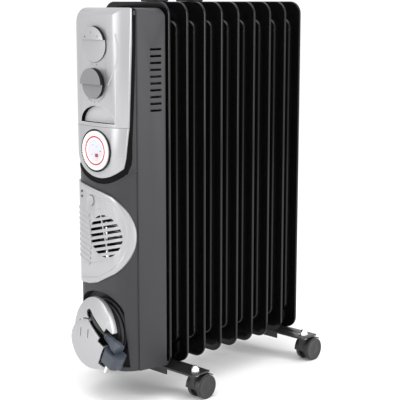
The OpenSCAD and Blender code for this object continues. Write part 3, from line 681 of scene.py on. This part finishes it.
def half_moon(name, radius, z, low, high, ridge, body, node, back):
    """A disc whose face is low out of the wall, and high above the ridge."""
    obj = disc_x(name, radius, FRONT_X - low, FRONT_X + back, 0, z, 128)
    edit(obj)
    bpy.ops.mesh.select_all(action="SELECT")
    bpy.ops.mesh.bisect(plane_co=at(0, 0, z + ridge), plane_no=(0, 0, 1))
    pick(obj, "FACE", lambda f: f.normal.x < -0.9 and middle(f).z > (z + ridge) * MM)
    bpy.ops.mesh.extrude_region_move(TRANSFORM_OT_translate={"value": ((low - high) * MM, 0, 0)})
    nothing_selected()
    soften(obj, 0.7, 3, MOULD_ANGLE)
    stem = soften(disc_x("stem", 5, FRONT_X + back - 0.5, -73, 0, z, 48), 0.3)
    obj = join(name, obj, stem)
    dress(obj, node, body)
    # The knob's side walls take the near black finish as painted shade.
    obj.data.materials.append(side_shade_and_print_black.material)
    for face in obj.data.polygons:
        if abs(face.normal.x) < KNOB_SIDE_SLOPE and face.area > SMALLEST_FACE:
            face.material_index = 1


half_moon("selector_knob_piece", radius=27.5, z=SELECTOR_Z, low=0.6, high=4.6, ridge=7.5,
    body="selector", node="selector_knob", back=1.0)
half_moon("thermostat_knob_piece", radius=24, z=THERMOSTAT_Z, low=5, high=9, ridge=-1.0,
    body="thermostat", node="thermostat_knob", back=-0.6)

# %% [markdown]
# ## The timer
# The ring turns once a day and has a small tappet for every half hour, numbers printed inside them
# and a red line. The still centre has a pointer and a slide that switches the timer off.

# %% The timer's ring
TIMER_Z = 410.0
RING_INNER, RING_OUTER = 17.05, 30.9
TAPPETS, HOURS = 48, 24


def ring_x(name, inner, outer, x0, x1, y, z, vertices=128):
    """A flat ring whose axis is along X: a circle, drawn out to its inner edge and given its thickness."""
    nothing_selected()
    bpy.ops.mesh.primitive_circle_add(vertices=vertices, radius=outer * MM, location=at(x0, y, z),
        rotation=(0, math.pi / 2, 0))
    obj = settle(bpy.context.object)
    edit(obj, "EDGE")
    bpy.ops.mesh.select_all(action="SELECT")
    bpy.ops.mesh.extrude_edges_move()
    bpy.ops.transform.resize(value=(1, inner / outer, inner / outer), center_override=at(x0, y, z))
    bpy.ops.mesh.select_mode(type="FACE")
    bpy.ops.mesh.select_all(action="SELECT")
    bpy.ops.mesh.extrude_region_move(TRANSFORM_OT_translate={"value": ((x1 - x0) * MM, 0, 0)})
    bpy.ops.mesh.select_all(action="SELECT")
    bpy.ops.mesh.normals_make_consistent(inside=False)
    nothing_selected()
    obj.name = obj.data.name = name
    return obj


def about_timer(obj, degrees):
    centre = at(0, 0, TIMER_Z)
    turn = Matrix.Rotation(math.radians(degrees), 4, "X")
    obj.data.transform(Matrix.Translation(centre) @ turn @ Matrix.Translation(-centre))


dial = ring_x("timer_ring_piece", RING_INNER, RING_OUTER, FRONT_X - 1.2, FRONT_X + 6, 0, TIMER_Z)
dress(soften(dial, 0.35, 2, MOULD_ANGLE), "timer_ring", "timer_dial")
tappet = block("tappet", FRONT_X - 2.7, FRONT_X - 1.1, -0.75, 0.75, TIMER_Z + 26.8, TIMER_Z + 30.3)
soften(tappet, 0.25, 1)
tappets = []
for index in range(TAPPETS):
    tappets.append(moved_copy(tappet, "tappet_copy"))
    about_timer(tappets[-1], index * 360 / TAPPETS)
bpy.data.objects.remove(tappet)
dress(join("tappet_row", *tappets), "timer_tappets", "timer_dial")

red_line = ring_x("timer_red_line", 20.8, 23.2, FRONT_X - 1.35, FRONT_X - 1.1, 0, TIMER_Z, 96)
place_piece(red_line, signal_red.material, "signal_red", "timer_dial")

FACE_ON = Matrix(((0, 0, -1), (-1, 0, 0), (0, 1, 0))).to_4x4()


def lettering(name, text, size, y, z, x):
    """Flat generic characters that face the front, as a mesh."""
    nothing_selected()
    bpy.ops.object.text_add()
    obj = bpy.context.object
    obj.data.body = text
    obj.data.size = size * MM
    obj.data.extrude = 0.06 * MM
    obj.data.align_x, obj.data.align_y = "CENTER", "CENTER"
    obj.data.resolution_u = 2
    bpy.ops.object.convert(target="MESH")
    obj = bpy.context.object
    obj.data.transform(Matrix.Translation(at(x, y, z)) @ FACE_ON)
    obj.name = obj.data.name = name
    return obj


numbers = []
for hour in range(1, HOURS + 1):
    number = lettering("hour", str(hour), 2.9, 0, TIMER_Z + 25.0, FRONT_X - 1.25)
    about_timer(number, 360 / HOURS * hour)
    numbers.append(number)
place_piece(join("timer_numbers", *numbers), signal_red.material, "signal_red", "timer_dial")

# %% The timer's centre
CENTRE_R = 17
centre_disc = disc_x("timer_centre_piece", CENTRE_R, FRONT_X - 1.8, FRONT_X + 14, 0, TIMER_Z, 96)
edit(centre_disc)
pick(centre_disc, "FACE", lambda f: f.normal.x < -0.9)
bpy.ops.mesh.inset(thickness=1.6 * MM)
bpy.ops.transform.translate(value=(0.5 * MM, 0, 0))
nothing_selected()
dress(soften(centre_disc, 0.3, 2, MOULD_ANGLE), "timer_centre", "heater")
slide = block("timer_slide", FRONT_X - 3.4, FRONT_X - 1.35, -6.9, -2.1, TIMER_Z - 9.5, TIMER_Z - 4.5)
dress(soften(slide, 0.4, 2), "timer_switch", "timer_mode")
PRINT_BACK, PRINT_FRONT = FRONT_X - 1.25, FRONT_X - 1.5
pointer = block("timer_pointer", PRINT_FRONT, PRINT_BACK, -15.2, -11.4, TIMER_Z - 1.1, TIMER_Z + 1.1)
edit(pointer, "VERT")
pick(pointer, "VERT", lambda v: v.co.y < -13 * MM)
bpy.ops.transform.resize(value=(1, 1, 0.05), center_override=at(0, 0, TIMER_Z))
nothing_selected()
place_piece(pointer, signal_red.material, "signal_red", "heater")
marks = [block("mark", PRINT_FRONT, PRINT_BACK, y - 0.5, y + 0.5, z - 0.5, z + 0.5)
    for y, z in ((4.5, 419), (-4.5, 416.5), (6.5, 404))]
place_piece(join("timer_marks", *marks), side_shade_and_print_black.material, "black_plastic", "heater")
bezel = ring_x("timer_bezel", 32.6, 33.9, FRONT_X - 0.5, FRONT_X + 2.0, 0, TIMER_Z)
place_piece(soften(bezel, 0.2, 2, MOULD_ANGLE), side_shade_and_print_black.material, "black_plastic", "heater")

# %% The push button
BUTTON_Y, BUTTON_Z, BUTTON_BACK = 14, 329, FRONT_X + 8
button = disc_x("fan_button_piece", 8.5, FRONT_X - 2, BUTTON_BACK, BUTTON_Y, BUTTON_Z, 64)
skirt = disc_x("skirt", 10.1, FRONT_X + 6.6, BUTTON_BACK, BUTTON_Y, BUTTON_Z, 64)
edit(button)
pick(button, "FACE", lambda f: f.normal.x < -0.9)
bpy.ops.mesh.inset(thickness=1.5 * MM)
bpy.ops.transform.translate(value=(0.4 * MM, 0, 0))
nothing_selected()
soften(button, 0.8, 3, MOULD_ANGLE)
dress(join("fan_button_piece", button, skirt), "fan_button", "fan_push")

# %% [markdown]
# ## Rims, ribs, creases and printed marks
# The leaf shaped fan panel has a broad bright rim, ribs on its far side and two fine creases. The
# upper panel has a soft crease beside the knobs, and fine printed scales under each knob.

# %% Mouldings on the panels
LEAF_Z, LEAF_R = 277.0, 71.0
RIB_PITCH, RIB_RISE = 8.7, 8.5
FURTHEST_TURN = math.radians(70)


def from_unrolled(s):
    """The sideways distance of a point that is s along the wall from its middle."""
    flat = CROWN_R * FLAT_TURN
    if abs(s) <= flat:
        return CROWN_R * math.sin(s / CROWN_R)
    turn = min(FURTHEST_TURN, FLAT_TURN + (abs(s) - flat) / CORNER_R)
    return math.copysign(CORNER_Y + CORNER_R * math.sin(turn), s)


def leaf_edge(inset):
    r = LEAF_R - inset
    round_side = [(from_unrolled(r * math.cos(math.radians(a))), LEAF_Z + r * math.sin(math.radians(a)))
        for a in range(118, 239, 4)]
    top = line(42, 355 - inset, -9.8, 345.6 - inset, 6)[:-1]
    foot = line(0, 197.5 + inset, 40, 191 + inset, 6)
    return top + round_side + foot


rim = band("leaf_rim", leaf_edge(5.2), 8.5, 0.9)
ribs = []
for index in range(-5, 5):
    z = LEAF_Z - 8 + index * RIB_PITCH
    ribs.append(band("rib", line(13 + abs(index + 0.5) * 1.2, z, 55, z + RIB_RISE), 5.6, 1.0))
creases = [band("crease", line(42, 307.7, -20, 320.5), 1.1, 0.35),
    band("crease", line(40, 221, -13, 234.5), 1.1, 0.35)]
side_crease = band("side_crease", [(-44.5, 592), (-47.2, 575), (-47.7, 557.5), (-44.8, 545),
    (-39.5, 533), (-34, 522), (-29, 514)], 2.6, 0.45)
place_piece(join("leaf_mouldings", rim, *ribs, *creases), silver_lacquer.material,
    "silver_plastic", "heater")
place_piece(side_crease, silver_lacquer.material, "silver_plastic", "heater")

# %% Printed scales, and a black band of painted shade beside the panel and round the timer lobe
PRINT_OUT, PRINT_SINK = 0.08, 0.1
scales = [band("scale", arc(0, THERMOSTAT_Z, 28.5, start, end, 10), 0.7, PRINT_OUT, PRINT_SINK)
    for start, end in ((215, 245), (282, 305))]
for y, z in ((4.5, 544.5), (-5.5, 544.5), (0.3, 486.0), (-9.5, 487.6)):
    scales.append(band("mark", line(y, z - 1.0, y, z + 1.0, 2), 1.1, PRINT_OUT, PRINT_SINK))
place_piece(join("printed_scales", *scales), side_shade_and_print_black.material, "black_plastic", "heater")
signs = [lettering("sign", text, 4.2, y, z, FRONT_X - 4.75)
    for text, y, z in (("I", 2, 593.5), ("0", 15.5, 586.5), ("II", -13.5, 587.5))]
place_piece(join("selector_signs", *signs), side_shade_and_print_black.material, "black_plastic", "selector")

LOBE_Y, LOBE_Z, LOBE_R = -8, 435, 67.5
CHANNEL_OFFSET, CHANNEL_FOOT = 5.0, 9.4
channel_path = [(-64.9, 620), (-64.6, 560), (-63.9, 520), (-62.9, 480), (-62.0, 452), (-61.0, 430),
    (-60.4, 415), (-60.0, 402), (-58.8, 392), (-56.2, 384.5)]
channel_width = [2.5, 2.5, 3.0, 3.4, 3.8, 4.6, 5.4, 6.2, 7.2, 8.2]
channel_foot = arc(LOBE_Y, LOBE_Z, LOBE_R + CHANNEL_OFFSET, 230, 318, 22)
channel_path += channel_foot
channel_width += [CHANNEL_FOOT] * len(channel_foot)
# This black band is painted shade for the dark gap beside the silver panel and the shaded moat round the
# timer lobe.
channel = band("painted_shade_band", channel_path, channel_width, 0.1, 0.6, base=-2.6)
place_piece(channel, painted_shade_black.material, "black_plastic", "heater")

# %% Handle, feet and castors
WHEEL_OUT = 13.5
GROOVE_STEPS = ((3.0, -1.1), (9.5, 1.0))


def sink_hubs(obj):
    """Presses a shallow round groove into both outer faces of a wheel pair."""
    centre = sum((v.co for v in obj.data.vertices), Vector()) / len(obj.data.vertices)
    edit(obj)
    pick(obj, "FACE", lambda f: abs(f.normal.y) > 0.99 and abs(middle(f).y - centre.y) > WHEEL_OUT * MM)
    for thickness, push in GROOVE_STEPS:
        bpy.ops.mesh.inset(thickness=thickness * MM)
        bpy.ops.transform.shrink_fatten(value=push * MM)
    nothing_selected()


for node, width in (("carry_handle", 2.0), ("foot_plate_front", 0.6), ("foot_plate_rear", 0.6),
        ("cap_nuts", 0.4), ("wing_nuts", 0.3), ("plug_body", 0.9), ("plug_pins", 0.5)):
    bevelled(node, node + "_piece", width, 3)

NECK_START, NECK_TURN, PLUG_X = (-28.0, 117.5), math.radians(121.5), -98.0
neck_way = Vector((0, -math.sin(NECK_TURN), math.cos(NECK_TURN)))
NECK_RINGS, RING_PITCH = 4, 3.6
for index in range(NECK_RINGS):
    nothing_selected()
    bpy.ops.mesh.primitive_torus_add(major_radius=(6.0 + 0.25 * index) * MM, minor_radius=0.55 * MM,
        major_segments=48, minor_segments=10, rotation=(NECK_TURN, 0, 0),
        location=at(PLUG_X, *NECK_START) + neck_way * (4.0 + RING_PITCH * index) * MM)
    ring = settle(bpy.context.object)
    ring.name = ring.data.name = f"neck_ring_{index + 1}"
    place_piece(smooth(ring, 60), plug_plastic.material, "plug_plastic", "heater")

for corner in ("front_left", "front_right", "rear_left", "rear_right"):
    bevelled("castor_" + corner, "hood_" + corner, 0.5, body=f"castor_{corner}_body")
    pair = from_cad("wheels_" + corner, "wheel_pair_" + corner)
    sink_hubs(pair)
    dress(soften(pair, 0.4, 2, MOULD_ANGLE), "wheels_" + corner, f"wheels_{corner}_body")

# %% [markdown]
# ## Floor and light
# The heater stands on a plain pale floor, with one large soft light above, one from the front
# left, and a narrow one from the right that draws the edges of the elements.

# %% Floor and light
nothing_selected()
bpy.ops.mesh.primitive_plane_add(size=40, location=(0, 0, 0))
floor = bpy.context.object
floor.name = "floor"
floor.data.materials.append(Finish("pale_floor", (0.94, 0.94, 0.94), 0.9).material)

world = bpy.data.worlds.new("studio")
bpy.context.scene.world = world
world.use_nodes = True
sky = world.node_tree.nodes["Background"].inputs
sky["Color"].default_value = (1, 1, 1, 1)
sky["Strength"].default_value = 1.08
bpy.context.scene.view_settings.view_transform = "Standard"


def soft_light(name, place, target, size, power):
    data = bpy.data.lights.new(name, "AREA")
    data.shape = "RECTANGLE"
    data.size, data.size_y = size
    data.energy = power
    lamp = bpy.data.objects.new(name, data)
    lamp.location = place
    lamp.rotation_euler = (Vector(target) - Vector(place)).to_track_quat("-Z", "Y").to_euler()
    bpy.context.scene.collection.objects.link(lamp)
    return lamp


lamps = [
    soft_light("top_light", (-0.6, -0.6, 2.4), (0, 0, 0.3), (2.0, 2.0), 30),
    soft_light("front_light", (-2.4, 0.4, 1.2), (0, 0, 0.35), (1.2, 1.8), 18),
    soft_light("side_light", (0.8, -2.4, 1.0), (0, 0, 0.35), (0.5, 1.8), 26),
]
print("lights:", len(lamps))
